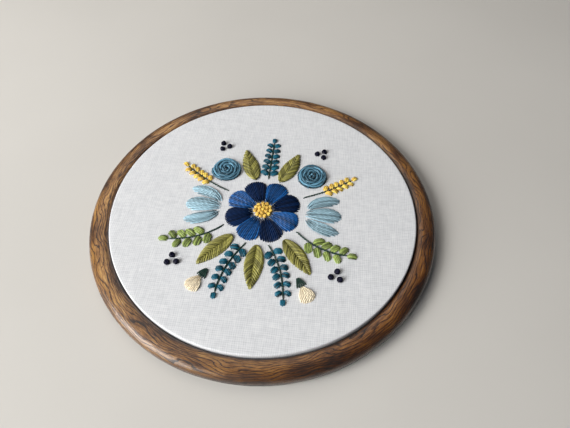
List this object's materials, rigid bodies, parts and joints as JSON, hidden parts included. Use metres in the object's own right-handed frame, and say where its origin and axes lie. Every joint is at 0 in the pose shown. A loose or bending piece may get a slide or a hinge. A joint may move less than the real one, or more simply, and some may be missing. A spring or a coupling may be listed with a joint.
{
  "type": "hoop embroidery art, a stitched cloth in its embroidery hoop",
  "caption": "Round hoop embroidery art: white woven cloth with a symmetric stitched flower spray in blues, greens and gold, stretched in a thick ring with a wood grain, lying on its back.",
  "frame": {"origin": "on the surface that the hoop lies on, under the middle of the hoop", "axes": "+Z is the way the stitched cloth faces, +Y is the way the flowers grow, +X is to their right"},
  "size_m": [0.17, 0.17, 0.0108],
  "materials": {
    "grained_ring": "moulded wood grain, satin",
    "ivory_ring": "smooth moulded",
    "white_cloth": "plain weave",
    "navy_thread": "stitched cotton thread, soft sheen",
    "royal_thread": "stitched cotton thread, soft sheen",
    "pale_blue_thread": "stitched cotton thread, soft sheen",
    "dusty_blue_thread": "stitched cotton thread, soft sheen",
    "teal_thread": "stitched cotton thread, soft sheen",
    "olive_thread": "stitched cotton thread, soft sheen",
    "light_green_thread": "stitched cotton thread, soft sheen",
    "dark_green_thread": "stitched cotton thread, soft sheen",
    "gold_thread": "stitched cotton thread, soft sheen",
    "cream_thread": "stitched cotton thread, soft sheen",
    "ink_thread": "stitched cotton thread, soft sheen"
  },
  "bodies": {
    "root": {"berry_low_left_1": "ink_thread", "berry_low_left_2": "ink_thread", "berry_low_left_3": "ink_thread", "berry_low_right_1": "ink_thread", "berry_low_right_2": "ink_thread", "berry_low_right_3": "ink_thread", "berry_top_left_1": "ink_thread", "berry_top_left_2": "ink_thread", "berry_top_left_3": "ink_thread", "berry_top_right_1": "ink_thread", "berry_top_right_2": "ink_thread", "berry_top_right_3": "ink_thread", "bud_left": "cream_thread", "bud_right": "cream_thread", "calyx_left": "dark_green_thread", "calyx_right": "dark_green_thread", "cloth": "white_cloth", "daisy_heart": "gold_thread", "daisy_petal_1": "navy_thread", "daisy_petal_2": "royal_thread", "daisy_petal_3": "navy_thread", "daisy_petal_4": "royal_thread", "daisy_petal_5": "navy_thread", "daisy_petal_6": "royal_thread", "daisy_petal_7": "navy_thread", "daisy_petal_8": "royal_thread", "frond_left": "teal_thread", "frond_right": "teal_thread", "frond_top": "teal_thread", "inner_ring": "ivory_ring", "leaf_bottom": "olive_thread", "leaf_side_left": "olive_thread", "leaf_side_right": "olive_thread", "leaf_top_left": "olive_thread", "leaf_top_right": "olive_thread", "outer_ring": "grained_ring", "rose_left": "dusty_blue_thread", "rose_right": "dusty_blue_thread", "spray_left": "light_green_thread", "spray_right": "light_green_thread", "tulip_left_lower": "pale_blue_thread", "tulip_left_mid": "pale_blue_thread", "tulip_left_upper": "pale_blue_thread", "tulip_right_lower": "pale_blue_thread", "tulip_right_mid": "pale_blue_thread", "tulip_right_upper": "pale_blue_thread", "wheat_left": "gold_thread", "wheat_right": "gold_thread"}
  },
  "joints": []
}
